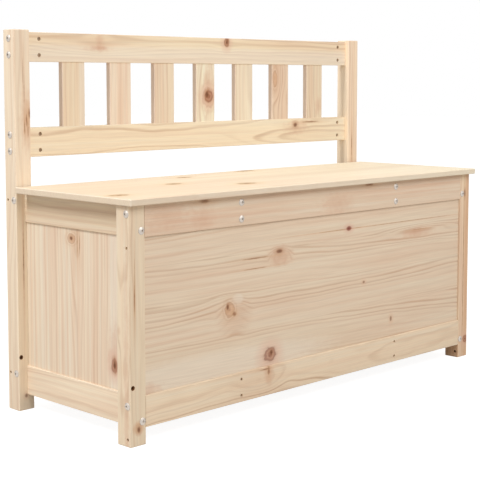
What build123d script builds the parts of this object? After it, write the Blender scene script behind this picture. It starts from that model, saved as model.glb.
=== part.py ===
from build123d import *
import os

# Storage bench of plain pine: four posts, a boxed seat with a hinged lid, and a slatted backrest.
# Millimetres. X runs along the bench, +Y to its back, +Z up, and the feet stand on z = 0.

# Frame
frame_width = 1036.0          # left face to right face of the posts
frame_depth = 377.0           # front of the front posts to back of the rear posts
back_height = 750.0           # top of the rear posts
seat_height = 445.0           # top of the closed lid
post_side = 36.0
post_ease = 1.5               # rounding of the post edges

# Rails of the box, the seat bearers and the backrest are cut from one stock
rail_thick = 16.0
rail_height = 58.0
rail_ease = 1.0               # rounding of the plain long edges
rail_bevel = 1.0              # bevel of the edges beside a panel
foot_clear = 31.0             # floor to the bottom rails

# Panels that stand in grooves of the rails and posts
panel_thick = 9.0
groove_depth = 6.0
panel_play = 0.5              # panel edge to the bottom of its groove
groove_play = 0.1             # panel face to the groove wall
corner_web = 0.5              # wood between two grooves that meet inside a rear post

# Backrest
back_gap = 56.0               # lid top to the lower backrest rail
back_drop = 4.0               # post top down to the top backrest rail
slat_count = 7
slat_end_gap = 86.6           # post to the nearest slat
slat_width = 57.0
slat_thick = 12.0
slat_ease = 1.5
tenon_thick = 7.0
tenon_shoulder = 6.0          # slat edge to tenon edge
tenon_length = 15.0
tenon_play = 0.1
mortise_spare = 0.6           # tenon end to the bottom of its mortise

# Lid
lid_thick = 12.0
lid_side_overhang = 7.0
lid_front_overhang = 12.0
lid_rear_gap = 6.0            # lid to the front plane of the rear posts
lid_round = 2.0
lid_seat_gap = 0.3            # lid to the rails under it

# Seat bearers
bearer_inset = 243.0          # post to the middle of a bearer

# Floor of the box
ledger_depth = 16.0
ledger_height = 16.0
ledger_lift = 5.0             # bottom rail's lower edge to the ledger
floor_thick = 9.0
floor_count = 6
floor_play = 0.6              # gap around each floor board
floor_ease = 0.8

# Machine bolts with barrel nuts
bolt_dia = 5.0
bolt_play = 0.5               # bolt to the wall of its hole
bolt_tail = 2.0               # hole beyond the bolt's end
bolt_past_nut = 1.5
bolt_head_dia = 14.0
bolt_head_height = 2.6
bolt_head_rim = 0.6           # straight rim under the dome of the head
bolt_head_land = 6.0          # flat round the socket
socket_across = 4.0
socket_depth = 1.7
nut_dia = 8.0
nut_cover = 2.0               # wood left behind a barrel nut
nut_sink = 2.0                # nut end below the face of the rail
nut_setback = 30.0            # end of the rail to the nut
nut_slot_width = 1.4
nut_slot_depth = 1.2
nut_play = 0.05
thread_play = 0.05
pair_spacing = 32.0           # between the two bolts of a pair
upper_web = 4.5               # wood between a groove and the nut of an end bolt
lower_web = 2.5               # wood between a groove and the nut of a side bolt

# Holes that the posts and bottom rails carry and this bench leaves open
spare_edge = 8.0              # from the face that the hole runs along
spare_side_edge = 6.0
spare_depth = 20.0
spare_foot_height = 13.5
spare_side_height = 107.5
spare_drop = 17.0             # top rail's lower edge down to the spare hole

# Countersunk wood screws
floor_screw_dia = 3.5
floor_screw_head = 7.0
floor_screw_cover = 3.0       # wood left under the tip
floor_screw_inset = 40.0      # board edge to the screw
ledger_screw_dia = 4.0
ledger_screw_head = 8.0
ledger_screw_cover = 6.0
hinge_screw_dia = 2.6
hinge_screw_head = 4.6
hinge_screw_length = 15.0
screw_play = 0.05
screw_tip = 3.0               # length of the pointed end
screw_slot_width = 0.7
screw_slot_depth = 0.6

# Butt hinges
hinge_inset = 120.0           # post to the middle of a hinge
hinge_drop = 2.6              # lid top down to the hinge pin
knuckle_count = 5
knuckle_length = 12.0
knuckle_dia = 4.4
knuckle_gap = 0.4
pin_dia = 2.2
pin_play = 0.05
pin_proud = 0.6
leaf_thick = 1.2
leaf_notch = 0.9              # leaf to the other leaf's knuckles
frame_leaf_drop = 22.0        # frame leaf below the top of the rear rail
lid_leaf_rise = 0.8           # lid leaf above the lid's underside
leaf_screw_pitch = 20.0

# Places worked out from the sizes above
half_width = frame_width / 2
half_inner = half_width - post_side
overall_depth = lid_front_overhang + frame_depth + bolt_head_height
front_y = lid_front_overhang - overall_depth / 2
rear_y = front_y + frame_depth
rear_post_y = rear_y - post_side
rail_in_y = front_y + rail_thick
lid_top = seat_height
lid_under = lid_top - lid_thick
box_top = lid_under - lid_seat_gap
top_rail_z = box_top - rail_height
bottom_rail_top = foot_clear + rail_height
half_pair = pair_spacing / 2
end_bolt_edge = groove_depth + upper_web + nut_dia / 2
side_bolt_edge = groove_depth + lower_web + nut_dia / 2
back_low_z = lid_top + back_gap
back_high_z = back_height - back_drop - rail_height
back_rail_y = rear_post_y + post_side / 2
slat_pitch = (2 * (half_inner - slat_end_gap) - slat_width) / (slat_count - 1)
side_rail_x = half_inner + rail_thick / 2
bearer_x = half_inner - bearer_inset
post_groove_depth = (rail_thick - panel_thick) / 2 - corner_web
hinge_y = rear_post_y - lid_rear_gap / 2
hinge_z = lid_top - hinge_drop
floor_z = foot_clear + ledger_lift + ledger_height
floor_pitch = 2 * half_inner / floor_count

sides = {"left": -1, "right": 1}
right = Vector(1, 0, 0)
back = Vector(0, 1, 0)
up = Vector(0, 0, 1)
nodes = {}
groups = {}
cuts = {}


def block(x0, x1, y0, y1, z0, z1):
    """Plain board between two corners."""
    centre = Pos((x0 + x1) / 2, (y0 + y1) / 2, (z0 + z1) / 2)
    return centre * Box(abs(x1 - x0), abs(y1 - y0), abs(z1 - z0))


def rod(start, direction, diameter, length):
    """Round bar from a point along a direction."""
    shape = Cylinder(diameter / 2, length, align=(Align.CENTER, Align.CENTER, Align.MIN))
    return Plane(origin=start, z_dir=direction) * shape


def cut(node, *shapes):
    """Keep a hole or slot for a node until the node is finished."""
    cuts.setdefault(node, []).extend(shapes)


def add(group, *shapes):
    """Put one more fastener in its group."""
    groups.setdefault(group, []).extend(shapes)


def rounded(board, axis, radius):
    """Board with its four long edges eased."""
    return fillet(board.edges().filter_by(axis), radius)


# Fasteners

def bolt_shape(length):
    """Button headed bolt: head above z = 0, shank below it."""
    low = (Align.CENTER, Align.CENTER, Align.MIN)
    high = (Align.CENTER, Align.CENTER, Align.MAX)
    radius = bolt_head_dia / 2
    land = bolt_head_land / 2
    rise = bolt_head_height - bolt_head_rim
    sink = (radius ** 2 - land ** 2 - bolt_head_height ** 2 + bolt_head_rim ** 2) / (2 * rise)
    ball = (radius ** 2 + (sink + bolt_head_rim) ** 2) ** 0.5
    head = Cylinder(radius, bolt_head_height, align=high) & Pos(0, 0, sink) * Sphere(ball)
    socket_radius = socket_across / 3 ** 0.5
    socket = extrude(RegularPolygon(socket_radius, 6), socket_depth)
    head -= Pos(0, 0, -bolt_head_height) * socket
    return head + Cylinder(bolt_dia / 2, length, align=low)


def nut_shape():
    """Slotted barrel nut that goes in along +Z and takes a bolt along X."""
    length = rail_thick - nut_cover - nut_sink
    low = (Align.CENTER, Align.CENTER, Align.MIN)
    nut = Pos(0, 0, nut_sink) * Cylinder(nut_dia / 2, length, align=low)
    across = Rot(0, 90, 0) * Cylinder(bolt_dia / 2 + thread_play, 2 * nut_dia)
    slot = Box(2 * nut_dia, nut_slot_width, 2 * nut_slot_depth)
    return nut - Pos(0, 0, rail_thick / 2) * across - Pos(0, 0, nut_sink) * slot


def bolted_joint(name, seat, into, outer, through, inner, nut_way):
    """Bolt through the outer piece into the end of the inner piece, with its barrel nut.

    nut_way is the way the nut goes in, square to the bolt.
    """
    nut_centre = seat + into * (through + nut_setback)
    length = through + nut_setback + nut_dia / 2 + bolt_past_nut
    hole = rod(seat, into, bolt_dia + 2 * bolt_play, length + bolt_tail)
    nut_face = nut_centre - nut_way * (rail_thick / 2)
    nut_hole = rod(nut_face, nut_way, nut_dia + 2 * nut_play, rail_thick - nut_cover)
    cut(outer, hole)
    cut(inner, hole, nut_hole)
    add(name + "_bolts", Plane(origin=seat, z_dir=into) * bolt_shape(length))
    add(name + "_barrel_nuts", Plane(origin=nut_face, x_dir=into, z_dir=nut_way) * nut_shape())


def screw_profile(diameter, head, length, grow):
    """Half outline of a countersunk screw, grown by a clearance."""
    r = diameter / 2 + grow
    rh = head / 2 + grow
    cone = (head - diameter) / 2
    end = length + grow
    return Polyline((0, 0), (rh, 0), (r, cone), (r, end - screw_tip), (0, end), close=True)


def screw_body(diameter, head, length, grow):
    """Turned screw with its head at z = 0 and its point along +Z."""
    outline = make_face(screw_profile(diameter, head, length, grow))
    return revolve(Plane.XZ * outline, Axis.Z)


def screw_in(group, seat, into, diameter, head, length, *pieces):
    """Slotted screw with the hole that it makes in each piece."""
    place = Plane(origin=seat, z_dir=into)
    screw = screw_body(diameter, head, length, 0)
    screw -= Box(2 * head, screw_slot_width, 2 * screw_slot_depth)
    add(group, place * screw)
    for piece in pieces:
        cut(piece, place * screw_body(diameter, head, length, screw_play))


# Posts

def make_posts():
    """Four square posts: the front pair under the lid, the rear pair up to the backrest."""
    for side, sign in sides.items():
        for row, y0, top in (("front", front_y, box_top), ("rear", rear_post_y, back_height)):
            outer = sign * half_width
            post = block(outer, outer - sign * post_side, y0, y0 + post_side, 0, top)
            nodes[f"{row}_{side}_post"] = fillet(post.edges(), post_ease)


def spare_holes():
    """Open holes that the posts and the bottom rails keep from their common drilling."""
    spare_dia = bolt_dia + 2 * bolt_play
    spare_side_dia = nut_dia + 2 * nut_play
    for side, sign in sides.items():
        face = sign * half_width
        inward = right * -sign
        front_post = f"front_{side}_post"
        rear_post = f"rear_{side}_post"
        hole_y = front_y + spare_edge
        foot = Vector(face, hole_y, spare_foot_height)
        cut(front_post, rod(foot, inward, spare_dia, post_side))
        high = Vector(face, hole_y, top_rail_z - spare_drop)
        cut(front_post, rod(high, inward, spare_dia, spare_depth))
        for z in (box_top - end_bolt_edge, bottom_rail_top - end_bolt_edge):
            rear_hole = Vector(face, rear_y - spare_edge, z)
            cut(rear_post, rod(rear_hole, inward, spare_dia, spare_depth))
        for z in (foot_clear + rail_height / 2 - half_pair, foot_clear + rail_height / 2 + half_pair):
            rail_hole = Vector(sign * bearer_x, front_y, z)
            cut("front_bottom_rail", rod(rail_hole, back, spare_dia, rail_thick))
    for row, y in (("front", front_y), ("rear", rear_post_y)):
        side_hole = Vector(-half_width + spare_side_edge, y, spare_side_height)
        cut(f"{row}_left_post", rod(side_hole, back, spare_side_dia, spare_depth))


# Box of rails and panels

def panel_rail(x0, x1, y0, y1, z0, axis, panel_above):
    """Rail whose edge beside the panel is bevelled and grooved."""
    rail = block(x0, x1, y0, y1, z0, z0 + rail_height)
    upward = Axis.Z if panel_above else -Axis.Z
    rail = fillet(rail.edges().filter_by(axis).sort_by(upward)[:2], rail_ease)
    return chamfer(rail.edges().filter_by(axis).sort_by(upward)[-2:], rail_bevel)


def make_box():
    """Eight rails between the posts and the four panels that they hold."""
    levels = {"top": (top_rail_z, False), "bottom": (foot_clear, True)}
    for level, (z0, above) in levels.items():
        for row, y0 in (("front", front_y), ("rear", rear_post_y)):
            rail = panel_rail(-half_inner, half_inner, y0, y0 + rail_thick, z0, Axis.X, above)
            nodes[f"{row}_{level}_rail"] = rail
        for side, sign in sides.items():
            inner = sign * half_inner
            rail = panel_rail(inner, inner + sign * rail_thick, front_y + post_side, rear_post_y,
                              z0, Axis.Y, above)
            nodes[f"{side}_{level}_rail"] = rail
    low = bottom_rail_top - groove_depth + panel_play
    high = top_rail_z + groove_depth - panel_play
    reach = post_groove_depth - panel_play
    for row, y0 in (("front", front_y), ("rear", rear_post_y)):
        mid = y0 + rail_thick / 2
        put_panel(f"{row}_panel", (half_inner + reach, panel_thick / 2), (0, mid), low, high,
                  [f"{row}_top_rail", f"{row}_bottom_rail", f"{row}_left_post", f"{row}_right_post"])
    span = (rear_post_y - front_y - post_side) / 2
    mid = (rear_post_y + front_y + post_side) / 2
    for side, sign in sides.items():
        put_panel(f"{side}_panel", (panel_thick / 2, span + reach), (sign * side_rail_x, mid), low, high,
                  [f"{side}_top_rail", f"{side}_bottom_rail", f"front_{side}_post", f"rear_{side}_post"])


def put_panel(name, half, centre, low, high, holders):
    """Thin panel and the groove that it stands in, cut from its rails and posts."""
    grow = [groove_play if h == panel_thick / 2 else panel_play for h in half]
    x, y = centre
    nodes[name] = block(x - half[0], x + half[0], y - half[1], y + half[1], low, high)
    groove = block(x - half[0] - grow[0], x + half[0] + grow[0], y - half[1] - grow[1],
                   y + half[1] + grow[1], low - panel_play, high + panel_play)
    for holder in holders:
        cut(holder, groove)


def bolt_box():
    """End bolts along X hold the long rails, side bolts along Y hold the short rails."""
    for side, sign in sides.items():
        inward = right * -sign
        for row, y0, nut_way in (("front", front_y, -back), ("rear", rear_post_y, back)):
            for level, top in (("top", box_top), ("bottom", bottom_rail_top)):
                seat = Vector(sign * half_width, y0 + rail_thick / 2, top - end_bolt_edge)
                bolted_joint("end", seat, inward, f"{row}_{side}_post", post_side,
                             f"{row}_{level}_rail", nut_way)
        for row, face, way in (("front", front_y, back), ("rear", rear_y, -back)):
            for level, z0 in (("top", top_rail_z), ("bottom", foot_clear)):
                seat = Vector(sign * side_rail_x, face, z0 + side_bolt_edge)
                bolted_joint("side", seat, way, f"{row}_{side}_post", post_side,
                             f"{side}_{level}_rail", -inward)


# Seat bearers and floor

def make_bearers():
    """Two cross bearers between the top rails that carry the lid."""
    middle = top_rail_z + rail_height / 2
    for side, sign in sides.items():
        x = sign * bearer_x
        bearer = block(x - rail_thick / 2, x + rail_thick / 2, rail_in_y, rear_post_y, top_rail_z, box_top)
        name = f"{side}_seat_bearer"
        nodes[name] = rounded(bearer, Axis.Y, rail_ease)
        for z in (middle - half_pair, middle + half_pair):
            bolted_joint("bearer", Vector(x, front_y, z), back, "front_top_rail", rail_thick,
                         name, right * -sign)
            bolted_joint("bearer", Vector(x, rear_post_y + rail_thick, z), -back, "rear_top_rail",
                         rail_thick, name, right * -sign)


def make_floor():
    """Floor boards laid from front to back on a ledger along each long bottom rail."""
    z0 = foot_clear + ledger_lift
    rows = (("front", rail_in_y, 1, back), ("rear", rear_post_y, -1, -back))
    for row, face, sign, way in rows:
        inside = face + sign * ledger_depth
        name = f"{row}_floor_ledger"
        ledger = block(floor_play - half_inner, half_inner - floor_play, face, inside, z0, floor_z)
        nodes[name] = rounded(ledger, Axis.X, floor_ease)
        length = ledger_depth + rail_thick - ledger_screw_cover
        for joint in range(1, floor_count):
            seat = Vector(joint * floor_pitch - half_inner, inside, z0 + ledger_height / 2)
            screw_in("ledger_screws", seat, -way, ledger_screw_dia, ledger_screw_head, length,
                     name, f"{row}_bottom_rail")
    for i in range(floor_count):
        x0 = i * floor_pitch - half_inner + floor_play
        x1 = x0 + floor_pitch - 2 * floor_play
        name = f"floor_board_{i + 1}"
        board = block(x0, x1, rail_in_y + floor_play, rear_post_y - floor_play,
                      floor_z, floor_z + floor_thick)
        nodes[name] = rounded(board, Axis.Y, floor_ease)
        length = floor_thick + ledger_height - floor_screw_cover
        for row, face, sign, way in rows:
            for x in (x0 + floor_screw_inset, x1 - floor_screw_inset):
                seat = Vector(x, face + sign * ledger_depth / 2, floor_z + floor_thick)
                screw_in("floor_screws", seat, -up, floor_screw_dia, floor_screw_head, length,
                         name, f"{row}_floor_ledger")


# Backrest

def make_backrest():
    """Two rails between the rear posts and the upright slats tenoned into them."""
    rails = {"backrest_lower_rail": back_low_z, "backrest_top_rail": back_high_z}
    y0 = back_rail_y - rail_thick / 2
    for name, z0 in rails.items():
        rail = block(-half_inner, half_inner, y0, y0 + rail_thick, z0, z0 + rail_height)
        nodes[name] = rounded(rail, Axis.X, rail_ease)
        for side, sign in sides.items():
            for step in (-half_pair, half_pair):
                seat = Vector(sign * half_width, back_rail_y, z0 + rail_height / 2 + step)
                bolted_joint("backrest", seat, right * -sign, f"rear_{side}_post", post_side, name, back)
    low = back_low_z + rail_height
    high = back_high_z
    half_tenon = slat_width / 2 - tenon_shoulder
    for i in range(slat_count):
        x = (i - (slat_count - 1) / 2) * slat_pitch
        slat = block(x - slat_width / 2, x + slat_width / 2, back_rail_y - slat_thick / 2,
                     back_rail_y + slat_thick / 2, low, high)
        tenon = block(x - half_tenon, x + half_tenon, back_rail_y - tenon_thick / 2,
                      back_rail_y + tenon_thick / 2, low - tenon_length, high + tenon_length)
        nodes[f"backrest_slat_{i + 1}"] = rounded(slat, Axis.Z, slat_ease) + tenon
        wide = half_tenon + tenon_play
        thick = tenon_thick / 2 + tenon_play
        deep = tenon_length + mortise_spare
        mortise = block(x - wide, x + wide, back_rail_y - thick, back_rail_y + thick,
                        low - deep, high + deep)
        for name in rails:
            cut(name, mortise)


# Lid and hinges

def make_lid():
    """Lid of edge glued strips that overhangs the box at the sides and the front."""
    wide = half_width + lid_side_overhang
    lid = block(-wide, wide, front_y - lid_front_overhang, rear_post_y - lid_rear_gap, lid_under, lid_top)
    nodes["seat_lid"] = fillet(lid.edges(), lid_round)


def knuckle(x, number):
    """One knuckle of a hinge, before its bore."""
    start = x + (number - knuckle_count / 2) * knuckle_length + knuckle_gap / 2
    return rod(Vector(start, hinge_y, hinge_z), right, knuckle_dia, knuckle_length - knuckle_gap)


def hinge_leaf(x, face_y, way, low, first):
    """Leaf on one face, with every second knuckle from the given first one."""
    half = knuckle_count * knuckle_length / 2
    notch_z = hinge_z - knuckle_dia / 2 - leaf_notch
    leaf = block(x - half, x + half, face_y, face_y + way * leaf_thick, low, notch_z)
    for number in range(first, knuckle_count, 2):
        start = x + (number - knuckle_count / 2) * knuckle_length + knuckle_gap / 2
        end = start + knuckle_length - knuckle_gap
        leaf += block(start, end, face_y, face_y + way * leaf_thick, low, hinge_z)
        leaf += knuckle(x, number)
    bore = rod(Vector(x - half, hinge_y, hinge_z), right, pin_dia + 2 * pin_play, 2 * half)
    return leaf - bore


def make_hinges():
    """Two butt hinges between the lid's rear edge and the rear top rail."""
    half = knuckle_count * knuckle_length / 2
    lid_face = rear_post_y - lid_rear_gap
    notch_z = hinge_z - knuckle_dia / 2 - leaf_notch
    lid_low = lid_under + lid_leaf_rise
    frame_low = box_top - frame_leaf_drop
    for side, sign in sides.items():
        x = sign * (half_inner - hinge_inset)
        frame_leaf = f"{side}_hinge_frame_leaf"
        lid_leaf = f"{side}_hinge_lid_leaf"
        nodes[frame_leaf] = hinge_leaf(x, rear_post_y, -1, frame_low, 0)
        nodes[lid_leaf] = hinge_leaf(x, lid_face, 1, lid_low, 1)
        pin_start = Vector(x - half - pin_proud, hinge_y, hinge_z)
        nodes[f"{side}_hinge_pin"] = rod(pin_start, right, pin_dia, 2 * (half + pin_proud))
        for step in (-leaf_screw_pitch, 0, leaf_screw_pitch):
            seat = Vector(x + step, rear_post_y - leaf_thick, box_top - frame_leaf_drop / 2)
            screw_in("frame_hinge_screws", seat, back, hinge_screw_dia, hinge_screw_head,
                     hinge_screw_length, frame_leaf, "rear_top_rail")
            seat = Vector(x + step, lid_face + leaf_thick, (lid_low + notch_z) / 2)
            screw_in("lid_hinge_screws", seat, -back, hinge_screw_dia, hinge_screw_head,
                     hinge_screw_length, lid_leaf, "seat_lid")


def finish_nodes():
    """Cut every hole and groove, then write one file for each node."""
    for name, shapes in cuts.items():
        nodes[name] = nodes[name] - shapes
    for name, shapes in groups.items():
        nodes[name] = Compound(children=shapes)
    os.makedirs("parts", exist_ok=True)
    for name, shape in nodes.items():
        shape.label = name
        export_step(shape, f"parts/{name}.step")
    print(len(nodes), "nodes written")


make_posts()
make_box()
make_bearers()
make_floor()
make_backrest()
make_lid()
make_hinges()
bolt_box()
spare_holes()
finish_nodes()
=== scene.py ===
import math
import bpy
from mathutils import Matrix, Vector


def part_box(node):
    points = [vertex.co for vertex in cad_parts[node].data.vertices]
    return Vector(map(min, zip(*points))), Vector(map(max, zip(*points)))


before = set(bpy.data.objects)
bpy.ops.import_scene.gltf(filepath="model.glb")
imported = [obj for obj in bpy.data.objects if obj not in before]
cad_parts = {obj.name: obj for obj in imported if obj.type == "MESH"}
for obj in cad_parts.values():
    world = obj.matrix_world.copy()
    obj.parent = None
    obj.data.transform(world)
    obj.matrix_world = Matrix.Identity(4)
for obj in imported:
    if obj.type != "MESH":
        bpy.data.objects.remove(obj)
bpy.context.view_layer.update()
scene = bpy.context.scene
scene.view_settings.view_transform = "Standard"
mmPerMetre = 1000


# sRGB hex to the linear colour that sockets take
def linear(hexColour):
    parts = [int(hexColour[i:i + 2], 16) / 255 for i in (1, 3, 5)]
    return [p / 12.92 if p <= 0.04045 else ((p + 0.055) / 1.055) ** 2.4 for p in parts] + [1.0]


# one node: its inputs are listed in order or named in a dictionary, and each is a plain value,
# a node (its first output) or (node, output)
def addNode(tree, kind, inputs=(), **settings):
    node = tree.nodes.new("ShaderNode" + kind)
    for name, value in settings.items():
        setattr(node, name, value)
    for socket, value in inputs.items() if isinstance(inputs, dict) else enumerate(inputs):
        source = value if isinstance(value, tuple) else (value, 0)
        if isinstance(source[0], bpy.types.Node):
            tree.links.new(source[0].outputs[source[1]], node.inputs[socket])
        else:
            node.inputs[socket].default_value = value
    return node


# a material with an empty node tree
def newMaterial(name):
    material = bpy.data.materials.new(name)
    material.use_nodes = True
    tree = material.node_tree
    tree.nodes.clear()
    return material, tree


def dress(nodeName, material):
    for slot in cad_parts[nodeName].material_slots:
        slot.material = material


# camera

camera = {
    "place": (-1.8733, -1.8131, 0.6548),
    "lensMm": 91.09,
    "sensorMm": 36,
    "tiltDown": 4.88,
    "turnRight": 45.01,
    "shiftY": -0.12,          # the photograph was framed low, with upright lines kept nearly upright
}


def addCamera():
    data = bpy.data.cameras.new("photo camera")
    data.lens = camera["lensMm"]
    data.sensor_width = camera["sensorMm"]
    data.shift_y = camera["shiftY"]
    eye = bpy.data.objects.new("photo camera", data)
    eye.location = camera["place"]
    eye.rotation_euler = (math.radians(90 - camera["tiltDown"]), 0, math.radians(-camera["turnRight"]))
    scene.collection.objects.link(eye)
    scene.camera = eye


addCamera()
print("camera set")


# studio: white sweep, one soft box above the front, one strip beside the left end

studio = {
    "floorSize": 30.0,
    "floorBounce": "#C2BEB8",     # what the wood gets back from the floor
    "floorShadow": 0.3,           # share of the seen floor that takes light, so the shadow stays
    "floorGlow": 0.92,
    "skyLight": 0.47,
    "skyColour": "#FFFBF5",
    "backdrop": "#FFFFFF",        # what the eye sees behind the bench
    "backdropLight": 1.0,
    "lamps": {
        "top box": {"at": (0.05, -1.9, 2.25), "aim": (0, 0, 0.35), "size": (2.8, 1.5), "watts": 44.5},
        "left strip": {"at": (-2.6, 0.175, 3.1), "aim": (-0.2, 0.175, 0.45), "size": (0.35, 1.2),
                       "watts": 83.5},
    },
}


# 1 for rays that show the backdrop: straight, mirrored or through glass
def seenDirectly(tree):
    path = addNode(tree, "LightPath")
    seen = addNode(tree, "Math", [(path, "Is Camera Ray"), (path, "Is Glossy Ray")], operation="MAXIMUM")
    return addNode(tree, "Math", [seen, (path, "Is Transmission Ray")], operation="MAXIMUM")


def addStudio():
    world = bpy.data.worlds.new("studio")
    scene.world = world
    world.use_nodes = True
    tree = world.node_tree
    tree.nodes.clear()
    backdrop = linear(studio["backdrop"])
    sky = addNode(tree, "Background", {"Color": linear(studio["skyColour"]), "Strength": studio["skyLight"]})
    white = addNode(tree, "Background", {"Color": backdrop, "Strength": studio["backdropLight"]})
    both = addNode(tree, "MixShader", [seenDirectly(tree), sky, white])
    addNode(tree, "OutputWorld", {"Surface": both})

    # matt paper: the eye sees it nearly white, with the bench's shadow on it
    material, tree = newMaterial("white paper sweep")
    share = studio["floorShadow"]
    bounce = addNode(tree, "BsdfDiffuse", {"Color": linear(studio["floorBounce"])})
    paper = addNode(tree, "BsdfDiffuse", {"Color": [share, share, share, 1]})
    glow = addNode(tree, "Emission", {"Color": backdrop, "Strength": studio["floorGlow"]})
    shown = addNode(tree, "AddShader", [paper, glow])
    floorSkin = addNode(tree, "MixShader", [seenDirectly(tree), bounce, shown])
    addNode(tree, "OutputMaterial", {"Surface": floorSkin})
    bpy.ops.mesh.primitive_plane_add(size=studio["floorSize"], location=(0, 0, 0))
    floor = bpy.context.object
    floor.name = "floor"
    floor.data.materials.append(material)

    for name, lamp in studio["lamps"].items():
        data = bpy.data.lights.new(name, "AREA")
        data.shape = "RECTANGLE"
        data.size, data.size_y = lamp["size"]
        data.energy = lamp["watts"]
        light = bpy.data.objects.new(name, data)
        light.location = lamp["at"]
        way = [a - b for a, b in zip(lamp["aim"], lamp["at"])]
        light.rotation_euler = Vector(way).to_track_quat("-Z", "Y").to_euler()
        light.visible_camera = False
        scene.collection.objects.link(light)


addStudio()
print("studio set:", ", ".join(studio["lamps"]))


# planed pine, unfinished: pale cream early wood, thin tan late wood lines, red-brown knots,
# matt with a faint sheen along the fibre

pine = {
    "late": "#B48A66",
    "blush": "#D8B095",             # heartwood tint
    "pale": "#E9E0D0",              # sapwood tint
    "endGrain": "#EFE4D6",
    "endShare": (0.0, 0.35),
    "endFacing": (0.6, 0.95),       # how squarely a face cuts the grain, where that tint starts and is full
    "waves": {                      # how the grain strays: length along, across and through, and reach, in mm
        "sweep": ((420, 110, 110), 30.0),
        "ripple": ((95, 30, 30), 5.0),
    },
    "waveDetail": 1.0,
    "noises": {                     # length along, across and through in mm, and detail
        "fibre": ((80, 1.6, 1.6), 2.0),     # fibre bundles, coarser than real so that they show
        "blush": ((380, 26, 26), 2.0),
        "streak": ((700, 7, 7), 1.0),
        "ragged": ((13, 8, 8), 3.0),        # edges of knots
    },
    "figureFrom": (0.3, 0.7),       # noise over which the late wood gains strength
    "figureTo": (0.45, 1.0),
    "blushFrom": (0.35, 0.7),
    "paleFrom": (0.5, 0.3),
    "redFrom": (0.5, 0.75),
    "redShare": 0.7,                # red stripes against pale ones
    "fibreFrom": (0.3, 0.7),
    "fibreShade": (0.95, 1.04),
    "fibreRelief": 0.8,             # fibres against late wood lines
    "jointMm": 0.8,                 # glue line between strips
    "jointShare": (0.0, 0.3),
    "roughness": (0.62, 0.48),      # early and late wood
    "grainDepth": 0.00012,
    "grainStrength": 0.5,
    "ior": 1.5,
    "specular": 0.35,
}

# growth rings, in shares of a year
rings = {
    "rise": (0.3, 0.84),            # late wood builds up
    "drop": (0.82, 1.0),            # and stops
    "strength": (0.15, 1.0),        # weakest and strongest year
    "strayPerMm": 0.035,            # how soon wide years turn to narrow ones
    "stray": 3.0,                   # and by how many years the count is off then
}

# what a board has unless it says otherwise
plainBoard = {
    "ringMm": 8.0,                  # growth rings, coarser than real so that they show
    "lean": 0.02,                   # how far the pith runs out of line with the board
    "wave": 1.0,
    "figure": 0.6,
    "blush": 0.25,
    "stripes": 0.25,
    "marks": (),
}

# how far one seed is from the next, so that each board, strip, length and year is its own
seedStep = {"noise": (3.7, 5.3, 7.9), "strip": 1.37, "length": 17.0, "year": 2.31}

markShape = {
    "rim": 1 / 3,                   # reach at the edge of a mark's size
    "stretch": (0.4, 1, 1),         # the grain opens further along than across
    "flowReach": 1.1,
    "nestReach": 0.7,
}


# a plain tint: one colour, whose share falls off with reach
def tint(colour, *falloff, rough=0.0):
    return {"rough": rough, "flow": 0.0, "stops": [(reach, colour, share) for reach, share in falloff]}


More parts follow.
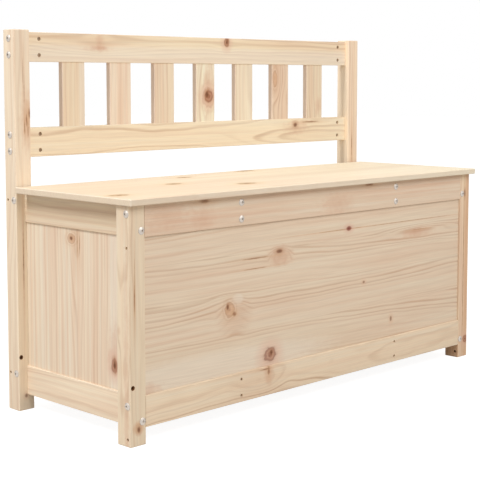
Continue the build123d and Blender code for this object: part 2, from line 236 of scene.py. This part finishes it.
# marks in the wood from the middle outwards, as (reach, colour, share). Rough is how ragged the rim is,
# flow how far the grain opens round it, and nest how many rings close on it
markKinds = {
    "live": {"rough": 0.24, "flow": 0.6, "stops": [
        (0.0, "#8A5636", 0.5), (0.06, "#B07A52", 0.5), (0.14, "#D2A47C", 0.55), (0.26, "#C8966E", 0.5),
        (0.33, "#AE7A55", 0.5), (0.40, "#E6CBB0", 0.4), (0.5, "#C79C78", 0.25), (0.62, "#E2C6AA", 0.2),
        (1.0, "#E2C6AA", 0.0)]},
    "dark": {"rough": 0.24, "flow": 0.6, "stops": [
        (0.0, "#7A3F2A", 0.9), (0.10, "#8C4C36", 0.85), (0.18, "#B47F62", 0.75), (0.25, "#985B42", 0.8),
        (0.32, "#8C4F3A", 0.75), (0.38, "#C6967C", 0.55), (0.5, "#DDB49E", 0.5), (1.0, "#DDB49E", 0.0)]},
    "dead": {"rough": 0.2, "flow": 0.6, "stops": [
        (0.0, "#6C2E20", 0.95), (0.22, "#864032", 0.92), (0.33, "#9C5C48", 0.75), (0.42, "#CFA08A", 0.5),
        (0.6, "#D9AE9A", 0.35), (1.0, "#D9AE9A", 0.0)]},
    "seat": {"rough": 0.2, "flow": 0.6, "stops": [      # the lid's knots, browner
        (0.0, "#744C2A", 0.85), (0.09, "#8A6238", 0.8), (0.17, "#B68F60", 0.65), (0.26, "#A0784A", 0.75),
        (0.34, "#A88254", 0.6), (0.4, "#D2B188", 0.4), (0.6, "#E2C7A2", 0.3), (1.0, "#E2C7A2", 0.0)]},
    "core": {"rough": 0.2, "flow": 0.0, "stops": [
        (0.0, "#653A20", 0.92), (0.2, "#80502F", 0.8), (0.36, "#B58360", 0.35), (0.7, "#B58360", 0.0)]},
    "pin": {"rough": 0.15, "flow": 0.4, "stops": [
        (0.0, "#7A4B30", 0.8), (0.26, "#8F5F40", 0.65), (0.40, "#D9AF90", 0.35), (1.0, "#D9AF90", 0.0)]},
    "pitch": {"rough": 0.3, "flow": 0.0, "stops": [
        (0.0, "#8A5A38", 0.85), (0.20, "#A06E47", 0.65), (0.36, "#CFA27A", 0.3), (1.0, "#D9B08A", 0.0)]},
    "swirl": {"rough": 0.1, "flow": 0.0, "nest": 2.6, "stops": [
        (0.0, "#C08E70", 0.3), (0.35, "#C89A7C", 0.25), (0.7, "#C89A7C", 0.0)]},
    "dip": {"rough": 0.1, "flow": 0.0, "nest": -2.4, "stops": [
        (0.0, "#C89A7C", 0.2), (0.35, "#C89A7C", 0.15), (0.7, "#C89A7C", 0.0)]},
    "bend": {"rough": 0.0, "flow": 1.1, "stops": [
        (0.0, "#C89A74", 0.16), (0.4, "#C89A74", 0.1), (0.9, "#C89A74", 0.0)]},
    "figure": {"rough": 0.8, "flow": 0.3, "stops": [
        (0.0, "#CDA083", 0.42), (0.3, "#D2A78B", 0.34), (0.7, "#D6AD92", 0.0)]},
    "sapwood": tint("#EBE0D0", (0.0, 0.6), (0.30, 0.5), (0.45, 0.0), rough=0.1),
    "heart": tint("#CE9C72", (0.0, 0.6), (0.28, 0.5), (0.50, 0.0), rough=0.1),
    "boreShade": tint("#84521F", (0.0, 0.92), (0.345, 0.88), (0.385, 0.0)),     # painted shade inside drilled holes, partly the rough, darker drilled end grain
    # painted light and painted shade: the paler tints stand in for light, and the darker tint for shade, that
    # the two lamps don't give; the darker tint also serves for darker wood tone
    "paintedLight": tint("#F2EACE", (0.0, 0.4), (0.35, 0.28), (0.7, 0.0)),
    "shadeAndTone": tint("#D9C2A6", (0.0, 0.5), (0.35, 0.32), (0.7, 0.0)),
    "paintedLightCream": tint("#FAEAD2", (0.0, 0.8), (0.3, 0.75), (0.5, 0.0)),
    "paintedLightGrey": tint("#F0DAC9", (0.0, 0.8), (0.3, 0.75), (0.5, 0.0)),
}


# place on a board in mm: along the grain, across the face and through the thickness
def boardPoint(tree, axes):
    coords = addNode(tree, "TexCoord")
    mm = addNode(tree, "Mapping", {"Vector": (coords, "Object"), "Scale": [mmPerMetre] * 3})
    split = addNode(tree, "SeparateXYZ", [mm])
    point = addNode(tree, "CombineXYZ", [(split, axis) for axis in axes])
    facing = addNode(tree, "SeparateXYZ", [(coords, "Normal")])
    return point, (facing, axes[0])


# noise stretched along the grain
def grainNoise(tree, point, length, seed, detail):
    shift = [seed * step for step in seedStep["noise"]]
    spot = addNode(tree, "VectorMath", [point, [1 / n for n in length], shift], operation="MULTIPLY_ADD")
    return addNode(tree, "TexNoise", {"Vector": spot, "Scale": 1.0, "Detail": detail})


# distance from the pith of the log that a board, or each of its glued strips, was cut from
def logRadius(tree, point, board, middle):
    split = addNode(tree, "SeparateXYZ", [point])
    along, across, through = [(split, i) for i in range(3)]
    pick, joint = None, None
    side = addNode(tree, "Math", [across, middle[1]], operation="SUBTRACT")
    deep = addNode(tree, "Math", [through, middle[2]], operation="SUBTRACT")
    pithSide, pithDeep = board["pith"]
    lean = board["lean"]
    if "strip" in board:
        width = board["strip"]
        place = addNode(tree, "Math", [across, board["stripEdge"]], operation="SUBTRACT")
        place = addNode(tree, "Math", [place, width], operation="DIVIDE")
        strip = addNode(tree, "Math", [place], operation="FLOOR")
        inStrip = addNode(tree, "Math", [place, strip], operation="SUBTRACT")
        inStrip = addNode(tree, "Math", [inStrip, 0.5], operation="SUBTRACT")      # from the strip's middle
        edge = addNode(tree, "Math", [inStrip], operation="ABSOLUTE")
        joint = addNode(tree, "MapRange", [edge, 0.5 - pine["jointMm"] / width, 0.5, *pine["jointShare"]])
        if "butt" in board:
            stagger = addNode(tree, "Math", [strip, board["buttStagger"], board["buttShift"]],
                              operation="MULTIPLY_ADD")
            run = addNode(tree, "Math", [along, 1 / board["butt"], stagger], operation="MULTIPLY_ADD")
            length = addNode(tree, "Math", [run], operation="FLOOR")
            strip = addNode(tree, "Math", [length, seedStep["length"], strip], operation="MULTIPLY_ADD")
        strip = addNode(tree, "Math", [strip, board["seed"] * seedStep["strip"]], operation="ADD")
        pick = addNode(tree, "TexWhiteNoise", {"W": strip}, noise_dimensions="1D")
        spread = (*board["pithSpread"], 2 * lean)
        log = addNode(tree, "VectorMath", [(pick, "Color"), spread, (pithSide, pithDeep, -lean)],
                      operation="MULTIPLY_ADD")
        log = addNode(tree, "SeparateXYZ", [log])
        pithSide, pithDeep, lean = [(log, i) for i in range(3)]
        side = addNode(tree, "Math", [inStrip, width], operation="MULTIPLY")
    side = addNode(tree, "Math", [side, pithSide], operation="SUBTRACT")
    side = addNode(tree, "Math", [along, lean, side], operation="MULTIPLY_ADD")
    deep = addNode(tree, "Math", [deep, pithDeep], operation="SUBTRACT")
    away = addNode(tree, "CombineXYZ", [side, deep])
    return (addNode(tree, "VectorMath", [away], operation="LENGTH"), "Value"), pick, joint


# growth rings: pale early wood, then a thin late wood line, each year with its own strength
def growthRings(tree, radius, ringMm, seed):
    slow = addNode(tree, "Math", [radius, rings["strayPerMm"]], operation="MULTIPLY")
    years = addNode(tree, "TexNoise", {"W": slow, "Scale": 1.0, "Detail": 1.0}, noise_dimensions="1D")
    count = addNode(tree, "Math", [radius, 1 / ringMm], operation="MULTIPLY")
    count = addNode(tree, "Math", [years, rings["stray"], count], operation="MULTIPLY_ADD")
    ring = addNode(tree, "Math", [count], operation="FRACT")
    year = addNode(tree, "Math", [count], operation="FLOOR")
    year = addNode(tree, "Math", [year, seed * seedStep["year"]], operation="ADD")
    strength = addNode(tree, "TexWhiteNoise", {"W": year}, noise_dimensions="1D")
    strength = addNode(tree, "MapRange", [(strength, "Value"), 0.0, 1.0, *rings["strength"]])
    rise = addNode(tree, "MapRange", [ring, *rings["rise"], 0.0, 1.0], interpolation_type="SMOOTHERSTEP")
    drop = addNode(tree, "MapRange", [ring, *rings["drop"], 1.0, 0.0], interpolation_type="SMOOTHSTEP")
    late = addNode(tree, "Math", [rise, drop], operation="MULTIPLY")
    return addNode(tree, "Math", [late, strength], operation="MULTIPLY")


def planedPine(name, ownValues):
    material, tree = newMaterial("planed pine " + name.replace("_", " "))
    board = {**plainBoard, **ownValues}
    axes, seed, ringMm = board["axes"], board["seed"], board["ringMm"]
    lo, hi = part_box(name)
    middle = [(lo[i] + hi[i]) / 2 * mmPerMetre for i in map("XYZ".index, axes)]
    point, endFacing = boardPoint(tree, axes)
    radius, pick, joint = logRadius(tree, point, board, middle)
    fibre, blush, streak, ragged = [grainNoise(tree, point, length, seed, detail)
                                    for length, detail in pine["noises"].values()]
    for length, reach in pine["waves"].values():
        stray = grainNoise(tree, point, length, seed, pine["waveDetail"])
        radius = addNode(tree, "Math", [stray, reach * board["wave"], radius], operation="MULTIPLY_ADD")

    # distance to each mark, with the grain opening round the knots
    marks = []
    for kindName, place, size in board["marks"]:
        kind = markKinds[kindName]
        scale = [2 * markShape["rim"] / s if s else 0 for s in size]
        spot = addNode(tree, "VectorMath", [point, scale, [-p * s for p, s in zip(place, scale)]],
                       operation="MULTIPLY_ADD")
        reach = (addNode(tree, "VectorMath", [spot], operation="LENGTH"), "Value")
        edge = addNode(tree, "Math", [ragged, kind["rough"], -kind["rough"] / 2], operation="MULTIPLY_ADD")
        marks.append((addNode(tree, "Math", [reach, edge], operation="ADD"), kind["stops"]))
        if kind["flow"]:
            width = 1 if size[1] else 2             # across, or through where a mark has no width
            stretched = addNode(tree, "VectorMath", [spot, markShape["stretch"]], operation="MULTIPLY")
            stretched = (addNode(tree, "VectorMath", [stretched], operation="LENGTH"), "Value")
            off = (addNode(tree, "SeparateXYZ", [spot]), width)
            pithWay = 1 if board["pith"][width - 1] > 0 else -1
            most = kind["flow"] * size[width] / (2 * markShape["rim"]) * pithWay
            opening = addNode(tree, "MapRange", [stretched, 0.0, markShape["flowReach"], most, 0.0],
                              interpolation_type="SMOOTHSTEP")
            radius = addNode(tree, "Math", [off, opening, radius], operation="MULTIPLY_ADD")
        if "nest" in kind:
            most = kind["nest"] * ringMm
            rise = addNode(tree, "MapRange", [reach, 0.0, markShape["nestReach"], most, 0.0],
                           interpolation_type="SMOOTHSTEP")
            radius = addNode(tree, "Math", [radius, rise], operation="ADD")

    late = growthRings(tree, radius, ringMm, seed)
    lateColour = linear(pine["late"])
    patchy = addNode(tree, "MapRange", [blush, *pine["figureFrom"], *pine["figureTo"]])
    figure = addNode(tree, "Math", [patchy, board["figure"]], operation="MULTIPLY")
    figure = addNode(tree, "Math", [late, figure], operation="MULTIPLY")
    colour = addNode(tree, "Mix", {0: figure, 6: linear(board["early"]), 7: lateColour}, data_type="RGBA")
    warm = addNode(tree, "MapRange", [blush, *pine["blushFrom"], 0.0, board["blush"]])
    if pick:
        warm = addNode(tree, "Math", [(pick, "Value"), board["stripBlush"], warm], operation="MULTIPLY_ADD")
        colour = addNode(tree, "Mix", {0: joint, 6: (colour, 2), 7: lateColour}, data_type="RGBA")
    pale = addNode(tree, "MapRange", [streak, *pine["paleFrom"], 0.0, board["stripes"]])
    red = addNode(tree, "MapRange", [streak, *pine["redFrom"], 0.0, board["stripes"] * pine["redShare"]])
    warm = addNode(tree, "Math", [warm, red], operation="ADD")
    for share, stain in ((warm, "blush"), (pale, "pale")):
        colour = addNode(tree, "Mix", {0: share, 6: (colour, 2), 7: linear(pine[stain])}, data_type="RGBA")
    for reach, stops in marks:
        ramp = addNode(tree, "ValToRGB", [reach])
        for i, (position, hexColour, share) in enumerate(stops):
            stop = ramp.color_ramp.elements.new(position) if i > 1 else ramp.color_ramp.elements[i]
            stop.position = position
            stop.color = linear(hexColour)[:3] + [share]
        colour = addNode(tree, "Mix", {0: (ramp, "Alpha"), 6: (colour, 2), 7: ramp}, data_type="RGBA")
    fibreShade = addNode(tree, "MapRange", [fibre, *pine["fibreFrom"], *pine["fibreShade"]])
    colour = addNode(tree, "Mix", {0: 1.0, 6: (colour, 2), 7: fibreShade},
                     data_type="RGBA", blend_type="MULTIPLY")

    # end grain drinks light, so it is a shade deeper
    ends = addNode(tree, "Math", [endFacing], operation="ABSOLUTE")
    ends = addNode(tree, "MapRange", [ends, *pine["endFacing"], *pine["endShare"]])
    colour = addNode(tree, "Mix", {0: ends, 6: (colour, 2), 7: linear(pine["endGrain"])},
                     data_type="RGBA", blend_type="MULTIPLY")

    gloss = addNode(tree, "MapRange", [late, 0.0, 1.0, *pine["roughness"]])
    relief = addNode(tree, "Math", [fibre, pine["fibreRelief"], late], operation="MULTIPLY_ADD")
    bump = addNode(tree, "Bump", {"Height": relief, "Strength": pine["grainStrength"],
                                  "Distance": pine["grainDepth"]})
    skin = addNode(tree, "BsdfPrincipled", {"Base Color": (colour, 2), "Roughness": gloss, "Normal": bump,
                                            "IOR": pine["ior"], "Specular IOR Level": pine["specular"]})
    addNode(tree, "OutputMaterial", {"Surface": skin})
    dress(name, material)


# boards that the photograph shows: marks are (kind, place, size) in mm, along, across and through,
# and a size of 0 lets a mark run right through

frontPanel = {
    "axes": "XZY", "seed": 1, "early": "#E4D4BD", "strip": 76.0, "stripEdge": 319.0,
    "pith": (45, 30), "pithSpread": (60, 40), "lean": 0.04,
    "blush": 0.25, "stripBlush": 0.12, "stripes": 0.14, "ringMm": 9.0, "figure": 0.85,
    "marks": [
        # a darker patch of wood tone under the pale sapwood strip
        ("shadeAndTone", (-330, 106, 0), (600, 60, 0)),
        ("sapwood", (-330, 106, 0), (600, 60, 0)), ("sapwood", (-246, 233, 0), (26, 18, 0)),
        ("swirl", (-254, 200, 0), (52, 44, 0)), ("live", (-268, 215, 0), (24, 27, 0)),
        ("core", (-273, 221, 0), (8, 13, 0)), ("pitch", (-255, 205, 0), (11, 10, 0)),
        ("dark", (-156, 110, 0), (32, 27, 0)), ("core", (-152, 114, 0), (10, 12, 0)),
        ("swirl", (-126, 305, 0), (40, 24, 0)), ("figure", (-126, 306, 0), (44, 24, 0)),
        ("core", (-129, 314, 0), (20, 9, 0)),
        ("pitch", (-197, 307, 0), (80, 3.0, 0)), ("pitch", (-196, 287, 0), (80, 1.8, 0)),
        ("pitch", (60, 340, 0), (170, 1.6, 0)), ("pitch", (285, 340, 0), (380, 1.3, 0)),
        ("dead", (84, 341, 0), (15, 9, 0)),
        ("bend", (328, 311, 0), (50, 14, 0)), ("figure", (322, 312, 0), (62, 15, 0)),
        ("figure", (314, 314, 0), (34, 9, 0)), ("pitch", (330, 318, 0), (60, 1.2, 0)),
        ("pin", (135, 221, 0), (8, 6, 0)), ("pin", (230, 128, 0), (8, 12, 0)),
        ("figure", (-471, 96, 0), (34, 16, 0)),
    ],
}
frontTopRail = {
    "axes": "XZY", "seed": 2, "early": "#DFC9B1", "pith": (-60, 30), "blush": 0.5, "figure": 0.25,
    "marks": [("pitch", (148, 430, 0), (32, 9, 0)), ("pitch", (-336, 429, 0), (36, 9, 0)),
              ("figure", (41, 396, 0), (60, 26, 0)), ("figure", (-430, 410, 0), (70, 30, 0)),
              ("figure", (-340, 396, 0), (40, 26, 0))],
}
frontBottomRail = {
    "axes": "XZY", "seed": 3, "early": "#ECD8BD", "pith": (14, 34), "figure": 0.85,
    "ringMm": 7.0, "wave": 1.5, "blush": 0.12,
    "marks": [("dip", (-188, 66, 0), (96, 44, 0)), ("figure", (-163, 78, 0), (16, 34, 0)),
              ("pitch", (-163, 80, 0), (8, 24, 0)), ("pitch", (-172, 84, 0), (40, 3, 0))],
}
frontLeftPost = {
    "axes": "ZXY", "seed": 4, "early": "#EBDAC0", "pith": (24, 4), "lean": 0.02, "wave": 1.2,
    "ringMm": 5.5, "figure": 0.55,
    # painted shade darkens the whole front face
    "marks": [("shadeAndTone", (0, 0, -186.8), (0, 0, 5)),
              ("pitch", (265, -507, 0), (60, 3.6, 0)), ("pitch", (300, -506, 0), (100, 1.2, 0)),
              ("heart", (33, -500, 0), (20, 20, 0)), ("core", (30, -499, 0), (13, 9, 0)),
              ("figure", (206, 0, -151), (12, 0, 8)), ("bend", (140, 0, -160), (17, 0, 14)),
              ("figure", (40, 0, -173), (320, 0, 9)), ("boreShade", (107.5, -512, -183.8), (8.1, 8.1, 45))],
}
frontRightPost = {
    "axes": "ZXY", "seed": 5, "early": "#F6E4C5", "pith": (-46, 26), "lean": 0.01, "blush": 0.6,
    "marks": [("heart", (216, 511, 0), (1400, 16, 0)), ("pitch", (230, 499, 0), (430, 2.8, 0)),
              ("dark", (41, 511, 0), (17, 18, 0)), ("core", (388, 501, 0), (20, 5, 0)),
              ("heart", (15, 482, 0), (70, 3, 0)), ("boreShade", (13.5, 482, -175.8), (6, 30, 6))],
}
rearLeftPost = {
    "axes": "ZXY", "seed": 6, "early": "#EFDEC6", "pith": (40, 34), "blush": 0.2, "figure": 0.32,
    "marks": [("figure", (574, -488, 0), (70, 22, 0)), ("pitch", (588, -484, 0), (26, 8, 0)),
              ("pitch", (573, -491, 0), (34, 4.4, 0)), ("pitch", (560, -496, 0), (30, 3, 0)),
              ("pitch", (556, -488, 0), (34, 2.4, 0)), ("pitch", (640, -496, 0), (80, 1.4, 0)),
              ("pitch", (668, -499, 0), (60, 1.2, 0)), ("pitch", (279, -507, 0), (50, 4, 0)),
              # painted light pales the front face below the lid
              ("paintedLightCream", (200, 0, 157.2), (460, 0, 5)), ("pitch", (300, -503, 0), (160, 2.6, 0)),
              ("pin", (29, -501, 0), (8, 7, 0)), ("boreShade", (107.5, -512, 157.2), (8.1, 8.1, 45))],
}
rearRightPost = {
    "axes": "ZXY", "seed": 7, "early": "#F5DDC1", "pith": (-44, 22), "lean": 0.03, "blush": 0.5,
    # painted light pales the inner face
    "marks": [("pitch", (486, 497, 0), (80, 3.6, 0)), ("paintedLightCream", (600, 479.6, 0), (700, 5, 0))],
}
leftPanel = {
    "axes": "ZYX", "seed": 8, "early": "#EDDDC6", "strip": 63.0, "stripEdge": -148.0,
    "pith": (45, 20), "pithSpread": (60, 30), "lean": 0.015,
    "blush": 0.3, "stripBlush": 0.12, "ringMm": 11.0, "figure": 0.5, "wave": 0.7,
    "stripes": 0.4,
    "marks": [("sapwood", (225, -118, 0), (1500, 34, 0)), ("figure", (160, -112, 0), (60, 22, 0)),
              ("dark", (133, -111, 0), (27, 17, 0)), ("core", (134, -112, 0), (22, 10, 0)),
              ("bend", (338, -2, 0), (60, 26, 0)), ("live", (355, 14, 0), (18, 25, 0)),
              ("core", (356, 14, 0), (8, 10, 0)), ("pitch", (352, -4, 0), (60, 2.4, 0)),
              ("pitch", (346, -11, 0), (44, 2, 0))],
}
# its early colour is darker than the other rails', partly as painted shade from the lid above
leftTopRail = {
    "axes": "YZX", "seed": 9, "early": "#E4D2B6", "pith": (40, 40), "figure": 0.45, "blush": 0.3,
}
leftBottomRail = {
    "axes": "YZX", "seed": 10, "early": "#F5E4CB", "pith": (-48, 40), "figure": 0.35, "blush": 0.4,
}
topBackRail = {
    "axes": "XZY", "seed": 11, "early": "#F0DEC0", "pith": (-58, 20), "lean": 0.01, "wave": 0.6,
    "blush": 0.45,
    "marks": [("sapwood", (0, 703, 0), (5000, 34, 0)),
              ("dark", (65, 737, 0), (15, 19, 0)), ("core", (66, 738, 0), (9, 15, 0)),
              ("bend", (-303, 731, 0), (50, 22, 0)), ("figure", (-300, 728, 0), (14, 26, 0)),
              ("figure", (-304, 717, 0), (40, 7, 0)), ("figure", (-300, 718, 0), (22, 5, 0))],
}
lowBackRail = {
    "axes": "XZY", "seed": 12, "early": "#F3E4C8", "pith": (30, 40), "lean": 0.04, "wave": 1.3,
    "figure": 0.5, "blush": 0.1, "ringMm": 9.0,
    "marks": [("bend", (345, 526, 0), (110, 30, 0)), ("figure", (300, 538, 0), (50, 22, 0)),
              ("pitch", (352, 550, 0), (60, 5, 0)), ("core", (297, 544, 0), (15, 12, 0))],
}
seatLid = {
    "axes": "XYZ", "seed": 30, "early": "#E3D6BD", "strip": 58.0, "stripEdge": -196.0,
    "butt": 700.0, "buttShift": 0.36, "buttStagger": 0.381966,      # lengths within a strip
    "pith": (45, -60), "pithSpread": (60, 30),
    "figure": 0.55, "blush": 0.2, "stripBlush": 0.15,
    # painted shade darkens the lid's left end and painted light pales its right end
    "marks": [("shadeAndTone", (-525, -22, 0), (360, 1200, 0)), ("paintedLight", (525, -22, 0), (620, 1500, 0)),
              # a darker strip of wood tone along the lid
              ("shadeAndTone", (-100, -20, 0), (3000, 40, 0)),
              ("seat", (-484, -115, 0), (40, 26, 0)), ("seat", (-255, -7, 0), (38, 24, 0)),
              ("seat", (-132, 96, 0), (34, 20, 0)), ("seat", (-142, -102, 0), (44, 28, 0)),
              ("seat", (91, 135, 0), (50, 24, 0)),
              ("sapwood", (0, -201, 0), (9000, 10, 0)), ("sapwood", (-527, -20, 0), (10, 9000, 0))],
}
seenBoards = {
    "front_panel": frontPanel, "front_top_rail": frontTopRail, "front_bottom_rail": frontBottomRail,
    "front_left_post": frontLeftPost, "front_right_post": frontRightPost,
    "rear_left_post": rearLeftPost, "rear_right_post": rearRightPost,
    "left_panel": leftPanel, "left_top_rail": leftTopRail, "left_bottom_rail": leftBottomRail,
    "backrest_top_rail": topBackRail, "backrest_lower_rail": lowBackRail, "seat_lid": seatLid,
}
for nodeName, board in seenBoards.items():
    planedPine(nodeName, board)

slats = [
    {"early": "#EAD7BB", "pith": (40, 36), "marks": [("sapwood", (620, -344, 0), (700, 14, 0))]},
    {"early": "#F2E0C9", "pith": (-46, 44), "blush": 0.35, "figure": 0.35},
    {"early": "#EAD9C0", "pith": (54, 14), "blush": 0.4},
    {"early": "#F4EED5", "pith": (-40, 48), "blush": 0.5,
     "marks": [("figure", (650, 8, 0), (50, 18, 0)), ("live", (613, 10, 0), (44, 36, 0)),
               ("dark", (616, 10, 0), (26, 24, 0)), ("core", (620, 5, 0), (18, 13, 0))]},
    {"early": "#F1E4CB", "pith": (42, 48), "blush": 0.15, "figure": 0.4},
    {"early": "#ECD9C1", "pith": (40, 44), "blush": 0.45, "figure": 0.75, "ringMm": 7.0,
     "marks": [("swirl", (660, 221, 168), (76, 58, 18)), ("live", (655, 227, 168), (38, 15, 18))]},
    {"early": "#E7D5BA", "pith": (-46, 30), "blush": 0.45,
     "marks": [("figure", (588, 382, 0), (26, 14, 0))]},
]
slatStock = {"axes": "ZXY", "firstSeed": 13, "paintedEdgeMm": 3}
for number, slat in enumerate(slats):
    nodeName = f"backrest_slat_{number + 1}"
    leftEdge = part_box(nodeName)[0][0] * mmPerMetre
    paintedLightEdge = ("paintedLightGrey", (0, leftEdge, 0), (0, slatStock["paintedEdgeMm"], 0))     # painted light on the shaded left face, a little greyer
    planedPine(nodeName, {"axes": slatStock["axes"], "seed": slatStock["firstSeed"] + number, **slat,
                          "marks": [*slat.get("marks", ()), paintedLightEdge]})
print("pine on the boards that the photograph shows")


# boards behind and inside, cut from the same stock

hiddenStock = {
    "early": "#F1DCC1",
    "firstSeed": 40,
    "pithSide": (40, 7, 20),      # least, step from board to board, and span, in mm
    "pithDeep": (20, 11, 30),
    "blushPercent": (20, 13, 30),
    "panel": {"strip": 70.0, "stripEdge": 20.0, "pithSpread": (60, 40), "stripBlush": 0.12},
    "axes": {
        "rear_panel": "XZY", "right_panel": "ZYX",
        "rear_top_rail": "XZY", "rear_bottom_rail": "XZY",
        "right_top_rail": "YZX", "right_bottom_rail": "YZX",
        "left_seat_bearer": "YZX", "right_seat_bearer": "YZX",
        "front_floor_ledger": "XZY", "rear_floor_ledger": "XZY",
        **{f"floor_board_{i}": "YXZ" for i in range(1, 7)},
    },
}


def varied(number, name):
    least, step, span = hiddenStock[name]
    return least + number * step % span


for number, (nodeName, axes) in enumerate(hiddenStock["axes"].items(), hiddenStock["firstSeed"]):
    board = {"axes": axes, "seed": number, "early": hiddenStock["early"],
             "pith": (varied(number, "pithSide"), varied(number, "pithDeep")),
             "blush": varied(number, "blushPercent") / 100}
    if nodeName.endswith("panel"):
        board.update(hiddenStock["panel"])
    planedPine(nodeName, board)
print("pine on the boards behind and inside")


# plated steel: a thin skin that mirrors softly, with a faint cloudy tint

plating = {"cloudDetail": 3.0, "cloudFrom": (0.3, 0.7), "bump": 0.2, "bumpDepth": 0.00005}

# bolts and screws are bright zinc, the sunk nuts yellow zinc, duller and warmer and darkened further
# as painted shade for the holes they sit in, and the hinges smooth and cool
zinc = {"colour": "#CDC5BC", "cloud": "#B9B0A7", "roughness": (0.42, 0.58), "cloudMm": 3.0}
shadedNutZinc = {"colour": "#B29A82", "cloud": "#98826C", "roughness": (0.5, 0.65), "cloudMm": 2.0}
hingeSteel = {"colour": "#BFC1C3", "cloud": "#A4A6A8", "roughness": (0.28, 0.45), "cloudMm": 1.2}


def platedSteel(name, finish):
    material, tree = newMaterial(name)
    coords = addNode(tree, "TexCoord")
    cloud = addNode(tree, "TexNoise", {"Vector": (coords, "Object"), "Scale": mmPerMetre / finish["cloudMm"],
                                       "Detail": plating["cloudDetail"]})
    colour = addNode(tree, "Mix", {0: cloud, 6: linear(finish["colour"]), 7: linear(finish["cloud"])},
                     data_type="RGBA")
    rough = addNode(tree, "MapRange", [cloud, *plating["cloudFrom"], *finish["roughness"]])
    bump = addNode(tree, "Bump", {"Height": cloud, "Strength": plating["bump"],
                                  "Distance": plating["bumpDepth"]})
    skin = addNode(tree, "BsdfPrincipled", {"Base Color": (colour, 2), "Metallic": 1.0, "Roughness": rough,
                                            "Normal": bump})
    addNode(tree, "OutputMaterial", {"Surface": skin})
    return material


zincSkin = platedSteel("zinc-plated steel", zinc)
nutSkin = platedSteel("yellow zinc-plated steel with painted shade", shadedNutZinc)
hingeSkin = platedSteel("rolled hinge steel", hingeSteel)
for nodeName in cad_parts:
    if nodeName.endswith(("_bolts", "_screws")):
        dress(nodeName, zincSkin)
    elif nodeName.endswith("_nuts"):
        dress(nodeName, nutSkin)
    elif "hinge" in nodeName:
        dress(nodeName, hingeSkin)
print("steel on bolts, nuts, screws and hinges")
